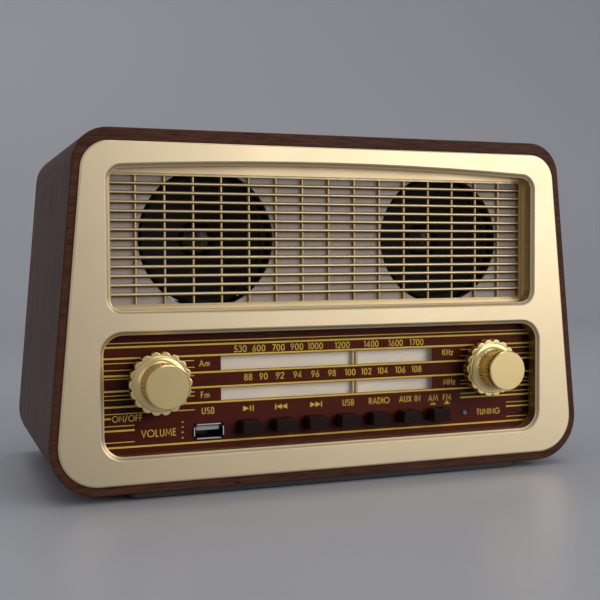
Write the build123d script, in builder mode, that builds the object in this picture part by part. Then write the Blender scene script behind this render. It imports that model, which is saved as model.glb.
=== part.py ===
from build123d import *
import math
import os

# A retro mains tabletop radio: wood-wrapped tapered cabinet, gold front bezel with a speaker
# lattice above a printed dial panel, two knobs, seven keys, a USB socket, and the works behind.
# Millimetres. X runs to the right along the front, Y to the back and Z up.
# The origin is on the table, below the middle of the whole radio.

os.makedirs("parts", exist_ok=True)

# ---- Driving dimensions ----------------------------------------------------------------------

# Heights are counted from the underside of the wood, depths from the front face of the bezel.
wood_lift = 3.2  # the wood's underside above the table
wood_half = 140.3  # half width at the underside
wood_height = 166.7
wood_depth = 144.8
wood_wall = 9.0
wood_set_back = 0.8  # the wood's front edge lies this far behind the bezel's face
side_lean = 0.0908  # half width lost for each millimetre of height
low_corner = 22.5
high_corner = 16.5

knob_reach = 14.0  # the knobs' faces in front of the bezel
rod_depth = 149.8  # centre line of the stowed antenna rod
knuckle_reach = 3.4  # the antenna knuckle's ears behind that line
rear_reach = rod_depth + knuckle_reach
front = (knob_reach - rear_reach) / 2  # Y of the bezel's front face

# Front bezel
bezel_half = 136.7
bezel_low = 4.0
bezel_high = 160.9
bezel_thick = 10.0
bezel_low_corner = 18.8
bezel_high_corner = 13.6
lip_width = 2.0  # the slanted lip round each window
lip_depth = 1.2

# Upper window, its ledge and the lattice behind
upper_half = 110.2
upper_low = 84.0
upper_crown = 151.5  # highest point of the window's arched top edge
upper_shoulder = 148.1  # height of that edge at its ends
upper_corner = 6.0
ledge_depth = 8.2
ledge_half = 109.2
ledge_low = 85.4
ledge_high = 147.1
lattice_depth = 10.0
lattice_half = 108.2
lattice_low = 86.4
lattice_high = 146.1
row_pitch = 4.3
row_count = 13
row_first = 90.8
row_height = 1.8
column_pitch = 13.77
column_count = 15
column_width = 1.3
bar_deep = 1.8
bar_step = 0.6  # the rows stand this far in front of the columns

# Speaker board and the two speakers
board_depth = 12.4
board_thick = 4.0
speaker_x = 62.0
speaker_z = 116.8
speaker_hole = 33.2
speaker_frame = 38.5
ear_ring = 41.5

# Lower window and the dial panel
lower_half = 113.5
lower_low = 17.4
lower_high = 72.8
lower_corner = 9.0
panel_depth = 7.7
glass_thick = 1.5
film_thick = 0.4
panel_half = 117.3
panel_low = 13.6
panel_high = 76.6
window_half = 56.5
am_low = 54.2
am_high = 60.9
fm_low = 39.8
fm_high = 45.9

# Controls
knob_x = 87.3
knob_z = 50.0
shaft_radius = 3.0
key_first = -43.2
key_pitch = 16.95
key_z = 26.8
key_width = 9.5
key_height = 6.2
key_face = 1.0
key_names = [
    "play_button",
    "previous_button",
    "next_button",
    "usb_button",
    "radio_button",
    "aux_button",
    "band_button",
]
led_x = 75.0
led_z = 26.3
usb_x = -62.9
usb_z = 25.6

# Dial drive: the cord runs left idler, right idler, tuning spindle, drum
cord_depth = 25.0
cord_radius = 0.4
idler_x = 62.0
idler_z = 71.6
idler_groove = 3.5
drum_x = 38.0
drum_z = 41.0
drum_groove = 30.0
cord_gap = 0.05  # between the cord and the bottom of each groove
pointer_x = 13.8
pointer_width = 3.0
rail_depth = 21.0
rail_z = 74.6
rail_radius = 1.25

# Chassis and boards
chassis_depth = 28.0
chassis_thick = 1.2
post_low = (122.0, 20.0)
post_high = (121.3, 64.0)
post_radius = 3.4

# Rear
rear_depth = 139.4
rear_thick = 3.0
antenna_x = 88.0
antenna_z = 138.0
inlet_x = -92.0
inlet_z = 34.0


# ---- Planes and outlines ---------------------------------------------------------------------


def facing(depth):
    """A plane parallel to the bezel, this far behind its face: extruding comes forward."""
    return Plane(origin=(0, front + depth, wood_lift), x_dir=(1, 0, 0), z_dir=(0, -1, 0))


def turning(x, z):
    """A level plane through (x, z): its own x is a radius and its own y a depth."""
    return Plane(origin=(x, front, wood_lift + z), x_dir=(1, 0, 0), z_dir=(0, 0, 1))


def shaft_line(x, z):
    """The front-to-back line through (x, z)."""
    return Axis((x, front, wood_lift + z), (0, 1, 0))


def tapered(half, low, high, low_radius, high_radius):
    """The cabinet's outline: half is the half width at the wood's underside."""
    with BuildSketch(Plane.XY, mode=Mode.PRIVATE) as outline:
        low_half = half - side_lean * low
        high_half = half - side_lean * high
        with BuildLine():
            Polyline(
                (-low_half, low),
                (low_half, low),
                (high_half, high),
                (-high_half, high),
                close=True,
            )
        make_face()
        fillet(outline.vertices().group_by(Axis.Y)[0], low_radius)
        fillet(outline.vertices().group_by(Axis.Y)[-1], high_radius)
    return outline.sketch


def window(half, low, high, radius):
    """A rounded window, centred on X = 0."""
    with BuildSketch(Plane.XY, mode=Mode.PRIVATE) as outline:
        with Locations((0, (low + high) / 2)):
            RectangleRounded(2 * half, high - low, radius)
    return outline.sketch


def finish(piece, name):
    """Name a finished sub-part and write its file."""
    piece.part.label = name
    export_step(piece.part, f"parts/{name}.step")


# ---- Casing ----------------------------------------------------------------------------------

cavity_half = wood_half - wood_wall * math.hypot(1, side_lean)
cavity_high = wood_height - wood_wall
cabinet_back = wood_depth + wood_set_back

with BuildPart() as cabinet_shell:
    with BuildSketch(facing(cabinet_back)):
        add(tapered(wood_half, 0, wood_height, low_corner, high_corner))
    extrude(amount=wood_depth)
    fillet(cabinet_shell.edges().group_by(Axis.Y)[0], 0.8)
    fillet(cabinet_shell.edges().group_by(Axis.Y)[-1], 0.8)
    with BuildSketch(facing(cabinet_back)):
        add(tapered(cavity_half, wood_wall, cavity_high, low_corner - wood_wall, high_corner - wood_wall))
    extrude(amount=wood_depth, mode=Mode.SUBTRACT)
    # Rebate that takes the bezel
    with BuildSketch(facing(bezel_thick)):
        fit = 0.15
        add(
            tapered(
                bezel_half + fit,
                bezel_low - fit,
                bezel_high + fit,
                bezel_low_corner + fit,
                bezel_high_corner + fit,
            )
        )
    extrude(amount=bezel_thick, mode=Mode.SUBTRACT)
    # Rebate that takes the rear panel
    with BuildSketch(facing(cabinet_back)):
        add(
            tapered(
                cavity_half + 4,
                wood_wall - 4,
                cavity_high + 4,
                low_corner - wood_wall + 4,
                high_corner - wood_wall + 4,
            )
        )
    extrude(amount=cabinet_back - rear_depth, mode=Mode.SUBTRACT)
finish(cabinet_shell, "cabinet_shell")

block_width = 16.0
block_long = 24.0
block_places = [(-104, 145), (104, 145), (-116, 22), (116, 22)]
block_back = rear_depth
with BuildPart() as corner_blocks:
    with BuildSketch(facing(block_back)):
        with Locations(*block_places):
            Rectangle(block_width, block_width)
    extrude(amount=block_long)
    # Pilot holes for the rear panel's screws
    with BuildSketch(facing(block_back)):
        with Locations(*block_places):
            Circle(1.5)
    extrude(amount=16, mode=Mode.SUBTRACT)
finish(corner_blocks, "corner_blocks")

plinth_half = 102.0
plinth_front = 3.0
plinth_back = 139.0
pad_x = 88.0
pad_radius = 7.0
pad_thick = 2.2
pad_pocket = 1.4
pad_depths = (plinth_front + 14, plinth_back - 14)
plinth_low = pad_thick - pad_pocket
with BuildPart() as base_plinth:
    with BuildSketch(Plane.XY.offset(plinth_low)):
        with Locations((0, front + (plinth_front + plinth_back) / 2)):
            RectangleRounded(2 * plinth_half, plinth_back - plinth_front, 3)
        with Locations((0, front + (plinth_front + plinth_back) / 2)):
            Rectangle(2 * plinth_half - 60, plinth_back - plinth_front - 60, mode=Mode.SUBTRACT)
    extrude(amount=wood_lift - plinth_low)
    with BuildSketch(Plane.XY.offset(plinth_low)):
        for depth in pad_depths:
            with Locations((-pad_x, front + depth), (pad_x, front + depth)):
                Circle(pad_radius + 0.1)
    extrude(amount=pad_pocket, mode=Mode.SUBTRACT)
finish(base_plinth, "base_plinth")

with BuildPart() as foot_pads:
    with BuildSketch():
        for depth in pad_depths:
            with Locations((-pad_x, front + depth), (pad_x, front + depth)):
                Circle(pad_radius)
    extrude(amount=pad_thick)
    chamfer(foot_pads.edges().group_by(Axis.Z)[0], 0.3)
finish(foot_pads, "foot_pads")

# ---- Front bezel and lattice -----------------------------------------------------------------


def arched_window(grow, radius):
    """The upper window's outline, grown outwards; its top edge is a shallow arch."""
    half = upper_half + grow
    with BuildSketch(Plane.XY, mode=Mode.PRIVATE) as outline:
        with BuildLine():
            Polyline(
                (-half, upper_shoulder + grow),
                (-half, upper_low - grow),
                (half, upper_low - grow),
                (half, upper_shoulder + grow),
            )
            ThreePointArc(
                (half, upper_shoulder + grow),
                (0, upper_crown + grow),
                (-half, upper_shoulder + grow),
            )
        make_face()
        fillet(outline.vertices(), radius + grow)
    return outline.sketch


with BuildPart() as front_bezel:
    with BuildSketch(facing(bezel_thick)):
        add(tapered(bezel_half, bezel_low, bezel_high, bezel_low_corner, bezel_high_corner))
    extrude(amount=bezel_thick)
    fillet(front_bezel.edges().group_by(Axis.Y)[0], 1.2)
    # Upper window down to its ledge, with the slanted lip
    with BuildSketch(facing(ledge_depth)):
        add(arched_window(0, upper_corner))
    extrude(amount=ledge_depth, mode=Mode.SUBTRACT)
    with BuildSketch(facing(lip_depth)):
        add(arched_window(0, upper_corner))
    with BuildSketch(facing(0)):
        add(arched_window(lip_width, upper_corner))
    loft(mode=Mode.SUBTRACT)
    with BuildSketch(facing(bezel_thick)):
        add(window(ledge_half, ledge_low, ledge_high, 1.0))
    extrude(amount=bezel_thick, mode=Mode.SUBTRACT)
    # Pocket behind the ledge for the lattice's rim
    with BuildSketch(facing(bezel_thick)):
        add(window(ledge_half + 3, ledge_low - 2.4, ledge_high + 2.4, 2.0))
    extrude(amount=bezel_thick - 9.6, mode=Mode.SUBTRACT)
    # Lower window right through, with the same lip
    with BuildSketch(facing(bezel_thick)):
        add(window(lower_half, lower_low, lower_high, lower_corner))
    extrude(amount=bezel_thick, mode=Mode.SUBTRACT)
    with BuildSketch(facing(lip_depth)):
        add(window(lower_half, lower_low, lower_high, lower_corner))
    with BuildSketch(facing(0)):
        add(
            window(
                lower_half + lip_width,
                lower_low - lip_width,
                lower_high + lip_width,
                lower_corner + lip_width,
            )
        )
    loft(mode=Mode.SUBTRACT)
    # Pocket for the dial panel
    with BuildSketch(facing(bezel_thick)):
        add(window(panel_half + 0.2, panel_low - 0.2, panel_high + 0.2, 3.0))
    extrude(amount=bezel_thick - panel_depth, mode=Mode.SUBTRACT)
    # Posts that carry the chassis
    with BuildSketch(facing(chassis_depth)):
        for x, z in (post_low, post_high):
            with Locations((x, z), (-x, z)):
                Circle(post_radius)
    extrude(amount=chassis_depth - bezel_thick + 1)
    with BuildSketch(facing(chassis_depth)):
        for x, z in (post_low, post_high):
            with Locations((x, z), (-x, z)):
                Circle(1.25)
    extrude(amount=12, mode=Mode.SUBTRACT)
finish(front_bezel, "front_bezel")

rim_front = 9.6
rim_back = board_depth
row_heights = [row_first + row_pitch * row for row in range(row_count)]
column_places = [column_pitch * (column - (column_count - 1) / 2) for column in range(column_count)]
with BuildPart() as speaker_grille:
    rim_middle = (ledge_low + ledge_high) / 2
    rim_size = (2 * ledge_half + 5.6, ledge_high - ledge_low + 4.4)
    with BuildSketch(facing(rim_back)):
        with Locations((0, rim_middle)):
            RectangleRounded(*rim_size, 1.8)
        add(window(lattice_half, lattice_low, lattice_high, 0.6), mode=Mode.SUBTRACT)
    extrude(amount=rim_back - rim_front)
    # Columns, then the rows that stand in front of them; every bar has a round nose
    column_nose = lattice_depth + bar_step + column_width / 2
    with BuildSketch(Plane.XY.offset(wood_lift + lattice_low - 0.5)):
        for x in column_places:
            with Locations((x, front + column_nose)):
                Circle(column_width / 2)
            with Locations((x, front + column_nose)):
                Rectangle(column_width, bar_deep - 0.7, align=(Align.CENTER, Align.MIN))
    extrude(amount=lattice_high - lattice_low + 1)
    row_nose = lattice_depth + row_height / 2
    with BuildSketch(Plane.YZ.offset(-lattice_half - 0.5)):
        for z in row_heights:
            with Locations((front + row_nose, wood_lift + z)):
                Circle(row_height / 2)
            with Locations((front + row_nose, wood_lift + z)):
                Rectangle(bar_deep - 0.7, row_height, align=(Align.MIN, Align.CENTER))
    extrude(amount=2 * lattice_half + 1)
finish(speaker_grille, "speaker_grille")

ear_step = ear_ring * math.sqrt(0.5)
speaker_screw_places = [
    (x + i * ear_step, speaker_z + j * ear_step)
    for x in (-speaker_x, speaker_x)
    for i in (-1, 1)
    for j in (-1, 1)
]
with BuildPart() as speaker_baffle:
    with BuildSketch(facing(board_depth + board_thick)):
        add(tapered(cavity_half - 0.4, 79.6, cavity_high - 0.4, 2, high_corner - wood_wall))
        with Locations((-speaker_x, speaker_z), (speaker_x, speaker_z)):
            Circle(speaker_hole, mode=Mode.SUBTRACT)
    extrude(amount=board_thick)
    with BuildSketch(facing(board_depth + board_thick)):
        with Locations(*speaker_screw_places):
            Circle(1.25)
    extrude(amount=3, mode=Mode.SUBTRACT)
finish(speaker_baffle, "speaker_baffle")

# ---- Dial panel ------------------------------------------------------------------------------

key_places = [key_first + key_pitch * key for key in range(len(key_names))]


def panel_outline(with_windows):
    """The dial panel's outline with its holes, and with the scale windows where asked."""
    with BuildSketch(Plane.XY, mode=Mode.PRIVATE) as outline:
        add(window(panel_half, panel_low, panel_high, 2.8))
        with Locations((-knob_x, knob_z), (knob_x, knob_z)):
            Circle(4.2, mode=Mode.SUBTRACT)
        with Locations(*[(x, key_z) for x in key_places]):
            RectangleRounded(key_width + 0.5, key_height + 0.5, 0.6, mode=Mode.SUBTRACT)
        with Locations((usb_x, usb_z)):
            RectangleRounded(15.0, 7.5, 0.7, mode=Mode.SUBTRACT)
        with Locations((led_x, led_z)):
            Circle(1.3, mode=Mode.SUBTRACT)
        if with_windows:
            with Locations((0, (am_low + am_high) / 2)):
                Rectangle(2 * window_half, am_high - am_low, mode=Mode.SUBTRACT)
            with Locations((0, (fm_low + fm_high) / 2)):
                Rectangle(2 * window_half, fm_high - fm_low, mode=Mode.SUBTRACT)
    return outline.sketch


glass_back = panel_depth + glass_thick
film_back = glass_back + film_thick
with BuildPart() as dial_glass:
    with BuildSketch(facing(glass_back)):
        add(panel_outline(False))
    extrude(amount=glass_thick)
finish(dial_glass, "dial_glass")

with BuildPart() as dial_print:
    with BuildSketch(facing(film_back)):
        add(panel_outline(True))
    extrude(amount=film_thick)
finish(dial_print, "dial_print")

# Cream tray behind the scale windows, standing off the film on two end ribs
tray_half = 70.0
tray_low = 33.0
tray_high = 71.2
tray_front = 13.0
tray_thick = 1.2
with BuildPart() as scale_tray:
    with BuildSketch(facing(tray_front + tray_thick)):
        with Locations((0, (tray_low + tray_high) / 2)):
            Rectangle(2 * tray_half, tray_high - tray_low)
    extrude(amount=tray_thick)
    with BuildSketch(facing(tray_front)):
        with Locations((0, (tray_low + tray_high) / 2)):
            with GridLocations(2 * tray_half - 2, 0, 2, 1):
                Rectangle(2, tray_high - tray_low)
    extrude(amount=tray_front - film_back)
finish(scale_tray, "scale_tray")

# ---- Chassis, its screws and the boards ------------------------------------------------------

cord_run_z = idler_z + idler_groove + cord_gap + cord_radius
tab_x = 74.0
tab_thick = 1.2
standoffs = [(-46, 18.5), (-8, 18.5), (84, 19)]
board_front = 18.5
board_back = 20.1
capacitor_bore = 4.2
chassis_back = chassis_depth + chassis_thick
bush_radius = 5.0
pot_neck = 3.6

with BuildPart() as dial_chassis:
    with BuildSketch(facing(chassis_back)):
        add(tapered(cavity_half - 1.2, 11, 77.5, 12, 3))
    extrude(amount=chassis_thick)
    # Tabs for the pointer rail
    with BuildSketch(facing(chassis_depth)):
        with Locations((-tab_x, rail_z), (tab_x, rail_z)):
            Rectangle(tab_thick, 6)
    extrude(amount=chassis_depth - 18.5)
    with BuildSketch(facing(chassis_depth)):
        with Locations(*standoffs):
            Circle(2.2)
    extrude(amount=chassis_depth - board_back)
    # Holes for the shafts, the idler pins and the screws
    with BuildSketch(facing(chassis_back)):
        with Locations((-knob_x, knob_z)):
            Circle(pot_neck)
        with Locations((knob_x, knob_z)):
            Circle(bush_radius)
        with Locations((drum_x, drum_z)):
            Circle(capacitor_bore)
        with Locations((-idler_x, idler_z), (idler_x, idler_z)):
            Circle(1.2)
        for x, z in (post_low, post_high):
            with Locations((x, z), (-x, z)):
                Circle(1.25)
    extrude(amount=chassis_thick, mode=Mode.SUBTRACT)
    with BuildSketch(Plane.YZ.offset(-tab_x - tab_thick)):
        with Locations((front + rail_depth, wood_lift + rail_z)):
            Circle(rail_radius)
    extrude(amount=2 * (tab_x + tab_thick), mode=Mode.SUBTRACT)
finish(dial_chassis, "dial_chassis")


def screws(places, head_depth, shank, head_radius=2.6, forward=True):
    """Pan-head screws driven from behind: the head stands behind head_depth."""
    with BuildPart() as group:
        with BuildSketch(facing(head_depth)):
            with Locations(*places):
                Circle(1.25)
        extrude(amount=shank)
        with BuildSketch(facing(head_depth + 1.8)):
            with Locations(*places):
                Circle(head_radius)
        extrude(amount=1.8)
        fillet(group.edges().group_by(Axis.Y)[-1], 0.8)
        with BuildSketch(facing(head_depth + 1.8)):
            with Locations(*places):
                Rectangle(3.0, 0.6)
                Rectangle(0.6, 3.0)
        extrude(amount=0.9, mode=Mode.SUBTRACT)
    return group


post_places = [(side * x, z) for x, z in (post_low, post_high) for side in (-1, 1)]
chassis_screws = screws(post_places, chassis_back, 10)
finish(chassis_screws, "chassis_screws")

with BuildPart() as key_board:
    with BuildSketch(facing(board_back)):
        with Locations((7, 26)):
            Rectangle(162, 22)
        with Locations((usb_x, usb_z)):
            Rectangle(13.2, 5.8, mode=Mode.SUBTRACT)
    extrude(amount=board_back - board_front)
finish(key_board, "key_board")

# ---- Rear panel, blocks and inlet ------------------------------------------------------------

rear_back = rear_depth + rear_thick
slot_rows = [70 + 7 * row for row in range(6)]
slot_columns = [-48 + 24 * column for column in range(5)]
inlet_size = (20.0, 12.0)
inlet_recess = (15.0, 8.0)
swivel_radius = 2.5
with BuildPart() as rear_panel:
    with BuildSketch(facing(rear_back)):
        add(
            tapered(
                cavity_half + 3.7,
                wood_wall - 3.7,
                cavity_high + 3.7,
                low_corner - wood_wall + 3.7,
                high_corner - wood_wall + 3.7,
            )
        )
        with Locations(*[(x, z) for x in slot_columns for z in slot_rows]):
            SlotOverall(18, 3, mode=Mode.SUBTRACT)
        with Locations((inlet_x, inlet_z)):
            RectangleRounded(*inlet_size, 2, mode=Mode.SUBTRACT)
        with Locations(*block_places):
            Circle(1.25, mode=Mode.SUBTRACT)
    extrude(amount=rear_thick)
finish(rear_panel, "rear_panel")

rear_screws = screws(block_places, rear_back, 14, head_radius=3.2)
finish(rear_screws, "rear_screws")

with BuildPart() as mains_inlet:
    with BuildSketch(facing(rear_back + 1.6)):
        with Locations((inlet_x, inlet_z)):
            RectangleRounded(28, 18, 3)
    extrude(amount=1.6)
    with BuildSketch(facing(rear_back)):
        with Locations((inlet_x, inlet_z)):
            RectangleRounded(inlet_size[0] - 0.2, inlet_size[1] - 0.2, 1.9)
    extrude(amount=18)
    # The figure-of-eight recess that the mains lead's connector enters
    with BuildSketch(facing(rear_back + 1.6)):
        with Locations((inlet_x, inlet_z)):
            SlotOverall(*inlet_recess)
    extrude(amount=14, mode=Mode.SUBTRACT)
    with BuildSketch(facing(rear_back)):
        with Locations((inlet_x - 4.3, inlet_z), (inlet_x + 4.3, inlet_z)):
            Circle(1.2)
    extrude(amount=22, mode=Mode.SUBTRACT)
finish(mains_inlet, "mains_inlet")

with BuildPart() as inlet_pins:
    with BuildSketch(facing(rear_back - 2)):
        with Locations((inlet_x - 4.3, inlet_z), (inlet_x + 4.3, inlet_z)):
            Circle(1.2)
    extrude(amount=20)
    fillet(inlet_pins.edges().group_by(Axis.Y)[-1], 0.8)
finish(inlet_pins, "inlet_pins")

# ---- Speakers --------------------------------------------------------------------------------

speaker_back = board_depth + board_thick
cap_sphere = 13.0
cap_middle = 40.4
for side, x in (("left", -speaker_x), ("right", speaker_x)):
    with BuildPart() as basket:
        with BuildSketch(turning(x, speaker_z)):
            with BuildLine():
                Polyline(
                    (33.6, speaker_back),
                    (speaker_frame, speaker_back),
                    (speaker_frame, speaker_back + 1.2),
                    (35.4, speaker_back + 1.2),
                    (24.2, 37.0),
                    (24.2, 38.2),
                    (9.0, 38.2),
                    (9.0, 37.0),
                    (23.0, 37.0),
                    (33.6, speaker_back + 1.9),
                    close=True,
                )
            make_face()
        revolve(axis=shaft_line(x, speaker_z))
        with BuildSketch(facing(36.4)):
            with Locations((x, speaker_z)):
                with PolarLocations(29, 6):
                    Rectangle(13, 17)
        extrude(amount=16.4, mode=Mode.SUBTRACT)
        # Ears for the screws
        with BuildSketch(facing(speaker_back + 1.2)):
            with Locations((x, speaker_z)):
                Circle(speaker_frame)
                with PolarLocations(ear_ring, 4, start_angle=45):
                    Circle(4.5)
                Circle(speaker_frame - 3, mode=Mode.SUBTRACT)
                with PolarLocations(ear_ring, 4, start_angle=45):
                    Circle(1.25, mode=Mode.SUBTRACT)
        extrude(amount=1.2)
    finish(basket, f"{side}_speaker_basket")

    with BuildPart() as magnet:
        with BuildSketch(turning(x, speaker_z)):
            with BuildLine():
                Polyline(
                    (0, 35),
                    (6.5, 35),
                    (6.5, 50),
                    (11, 50),
                    (11, 41),
                    (8.2, 41),
                    (8.2, 38.2),
                    (20, 38.2),
                    (20, 41),
                    (22.5, 41),
                    (22.5, 50),
                    (20, 50),
                    (20, 53),
                    (0, 53),
                    close=True,
                )
            make_face()
        revolve(axis=shaft_line(x, speaker_z))
    finish(magnet, f"{side}_speaker_magnet")

    # Paper cone with its rolled edge and the voice coil's tube
    with BuildPart() as cone:
        with BuildSketch(turning(x, speaker_z)):
            with BuildLine():
                Line((31.9, 18), (31.2, 18))
                ThreePointArc((31.2, 18), (29.9, 16.7), (28.6, 18))
                Polyline((28.6, 18), (7.35, 33), (7.35, 42))
            trace(line_width=0.5)
        revolve(axis=shaft_line(x, speaker_z))
    finish(cone, f"{side}_speaker_cone")

    with BuildPart() as dust_cap:
        with BuildSketch(turning(x, speaker_z)):
            with Locations((0, cap_middle)):
                Circle(cap_sphere)
                Circle(cap_sphere - 0.4, mode=Mode.SUBTRACT)
            with Locations((0, cap_middle - cap_sphere)):
                Rectangle(20, 7.4, align=(Align.MIN, Align.CENTER), mode=Mode.INTERSECT)
        revolve(axis=shaft_line(x, speaker_z))
    finish(dust_cap, f"{side}_dust_cap")

speaker_screws = screws(speaker_screw_places, speaker_back + 1.2, 4.2)
finish(speaker_screws, "speaker_screws")

# ---- Knobs and shafts ------------------------------------------------------------------------

petal_count = 18
petal_radius = 2.6
petal_ring = 12.35
flange_back = 5.4
flange_front = 0.7
flute_count = 28
neck_radius = 9.2
cap_radius = 10.1
cap_back = -11.0
bore_end = -9.4


def knob(x):
    """A knob: scalloped flange, flared skirt, fluted neck and a flat round cap."""
    with BuildPart(facing(flange_back)) as body:
        with Locations((x, knob_z)):
            with PolarLocations(petal_ring, petal_count):
                Cylinder(
                    petal_radius,
                    flange_back - flange_front,
                    align=(Align.CENTER, Align.CENTER, Align.MIN),
                )
        fillet(body.edges().group_by(Axis.Y)[0], 0.5)
        with BuildSketch(turning(x, knob_z)):
            with BuildLine():
                Polyline(
                    (shaft_radius, flange_back),
                    (13.0, flange_back),
                    (13.0, 0.4),
                    (12.6, 0.0),
                )
                ThreePointArc((12.6, 0.0), (10.4, -0.8), (neck_radius, -2.9))
                Polyline(
                    (neck_radius, -2.9),
                    (neck_radius, cap_back),
                    (cap_radius, cap_back - 0.4),
                    (cap_radius, 0.5 - knob_reach),
                    (cap_radius - 0.5, -knob_reach),
                    (0, -knob_reach),
                    (0, bore_end),
                    (shaft_radius, bore_end),
                    (shaft_radius, flange_back),
                )
            make_face()
        revolve(axis=shaft_line(x, knob_z))
        # Flutes along the neck, which notch the back rim of the cap
        with BuildSketch(facing(-1.0)):
            with Locations((x, knob_z)):
                with PolarLocations(neck_radius + 0.25, flute_count):
                    Circle(0.6)
        extrude(amount=abs(cap_back) + 0.2, mode=Mode.SUBTRACT)
    return body


volume_knob = knob(-knob_x)
finish(volume_knob, "volume_knob")
tuning_knob = knob(knob_x)
finish(tuning_knob, "tuning_knob")

shaft_front = bore_end
with BuildPart() as volume_shaft:
    with BuildSketch(facing(36)):
        with Locations((-knob_x, knob_z)):
            Circle(shaft_radius)
    extrude(amount=36 - shaft_front)
finish(volume_shaft, "volume_shaft")

running_gap = 0.06
with BuildPart() as volume_pot:
    with BuildSketch(facing(47)):
        with Locations((-knob_x, knob_z)):
            Circle(8.0)
    extrude(amount=9)
    with BuildSketch(facing(38)):
        with Locations((-knob_x, knob_z)):
            Circle(8.5)
        with Locations((-knob_x, knob_z - 10)):
            Rectangle(12, 6)
    extrude(amount=38 - chassis_back)
    with BuildSketch(facing(chassis_back)):
        with Locations((-knob_x, knob_z)):
            Circle(pot_neck)
    extrude(amount=chassis_back - 22)
    with BuildSketch(facing(chassis_depth)):
        with Locations((-knob_x, knob_z)):
            RegularPolygon(5.5, 6)
    extrude(amount=2.2)
    with BuildSketch(facing(36.5)):
        with Locations((-knob_x, knob_z)):
            Circle(shaft_radius + running_gap)
    extrude(amount=20, mode=Mode.SUBTRACT)
finish(volume_pot, "volume_pot")

spindle_flange = 4.6
with BuildPart() as tuning_spindle:
    with BuildSketch(turning(knob_x, knob_z)):
        with BuildLine():
            Polyline(
                (0, shaft_front),
                (shaft_radius, shaft_front),
                (shaft_radius, cord_depth - 1.6),
                (spindle_flange, cord_depth - 1.6),
                (shaft_radius, cord_depth - 0.7),
                (shaft_radius, cord_depth + 0.7),
                (spindle_flange, cord_depth + 1.6),
                (shaft_radius, cord_depth + 1.6),
                (shaft_radius, 34.2),
                (4.2, 34.2),
                (4.2, 35.0),
                (shaft_radius, 35.0),
                (shaft_radius, 36.0),
                (0, 36.0),
                close=True,
            )
        make_face()
    revolve(axis=shaft_line(knob_x, knob_z))
finish(tuning_spindle, "tuning_spindle")

with BuildPart() as tuning_bush:
    with BuildSketch(turning(knob_x, knob_z)):
        with BuildLine():
            Polyline(
                (shaft_radius + running_gap, cord_depth + 2.2),
                (bush_radius, cord_depth + 2.2),
                (bush_radius, chassis_back),
                (7.0, chassis_back),
                (7.0, chassis_back + 1.8),
                (bush_radius, chassis_back + 1.8),
                (bush_radius, 34.0),
                (shaft_radius + running_gap, 34.0),
                close=True,
            )
        make_face()
    revolve(axis=shaft_line(knob_x, knob_z))
finish(tuning_bush, "tuning_bush")

# ---- Dial drive ------------------------------------------------------------------------------

drum_rim = drum_groove + 1.5
with BuildPart() as dial_drum:
    with BuildSketch(turning(drum_x, drum_z)):
        with BuildLine():
            Polyline(
                (0, cord_depth - 4.2),
                (6.0, cord_depth - 4.2),
                (6.0, cord_depth - 1.2),
                (27.0, cord_depth - 1.2),
                (27.0, cord_depth - 2.2),
                (drum_rim, cord_depth - 2.2),
                (drum_groove, cord_depth - 0.8),
                (drum_groove, cord_depth + 0.8),
                (drum_rim, cord_depth + 2.2),
                (27.0, cord_depth + 2.2),
                (27.0, cord_depth + 1.2),
                (6.0, cord_depth + 1.2),
                (6.0, cord_depth + 2.4),
                (shaft_radius, cord_depth + 2.4),
                (shaft_radius, 33.0),
                (0, 33.0),
                close=True,
            )
        make_face()
    revolve(axis=shaft_line(drum_x, drum_z))
    with BuildSketch(facing(cord_depth + 3)):
        with Locations((drum_x, drum_z)):
            with PolarLocations(16.5, 5):
                Circle(7.0)
    extrude(amount=6, mode=Mode.SUBTRACT)
finish(dial_drum, "dial_drum")

with BuildPart() as tuning_capacitor:
    with BuildSketch(facing(47)):
        with Locations((drum_x, drum_z)):
            RectangleRounded(28, 28, 1.5)
    extrude(amount=47 - chassis_back)
    with BuildSketch(facing(33.5)):
        with Locations((drum_x, drum_z)):
            Circle(shaft_radius + running_gap)
    extrude(amount=6, mode=Mode.SUBTRACT)
finish(tuning_capacitor, "tuning_capacitor")

for side, x in (("left", -idler_x), ("right", idler_x)):
    with BuildPart() as idler:
        with BuildSketch(turning(x, idler_z)):
            with BuildLine():
                Polyline(
                    (1.2 + running_gap, cord_depth - 1.6),
                    (5.0, cord_depth - 1.6),
                    (idler_groove, cord_depth - 0.7),
                    (idler_groove, cord_depth + 0.7),
                    (5.0, cord_depth + 1.6),
                    (1.2 + running_gap, cord_depth + 1.6),
                    close=True,
                )
            make_face()
        revolve(axis=shaft_line(x, idler_z))
    finish(idler, f"{side}_idler")

with BuildPart() as idler_pins:
    for x in (-idler_x, idler_x):
        with BuildSketch(facing(chassis_back)):
            with Locations((x, idler_z)):
                Circle(1.2)
        extrude(amount=chassis_back - 22.2)
        with BuildSketch(facing(cord_depth - 1.8)):
            with Locations((x, idler_z)):
                Circle(1.8)
        extrude(amount=1.0)
finish(idler_pins, "idler_pins")

# The cord lies in one plane, clockwise round the idlers, the spindle and the drum
cord_lift = cord_gap + cord_radius
pulleys = [
    (-idler_x, idler_z, idler_groove + cord_lift),
    (idler_x, idler_z, idler_groove + cord_lift),
    (knob_x, knob_z, shaft_radius + cord_lift),
    (drum_x, drum_z, drum_groove + cord_lift),
]


def run_angle(here, there):
    """Direction from a pulley's centre to where its run to the next one leaves it, in radians."""
    along = math.atan2(there[1] - here[1], there[0] - here[0])
    reach = math.hypot(there[0] - here[0], there[1] - here[1])
    return along + math.acos((here[2] - there[2]) / reach)


def on_pulley(pulley, angle):
    """The cord's centre line on a pulley, at this angle."""
    return (pulley[0] + pulley[2] * math.cos(angle), pulley[1] + pulley[2] * math.sin(angle))


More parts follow.
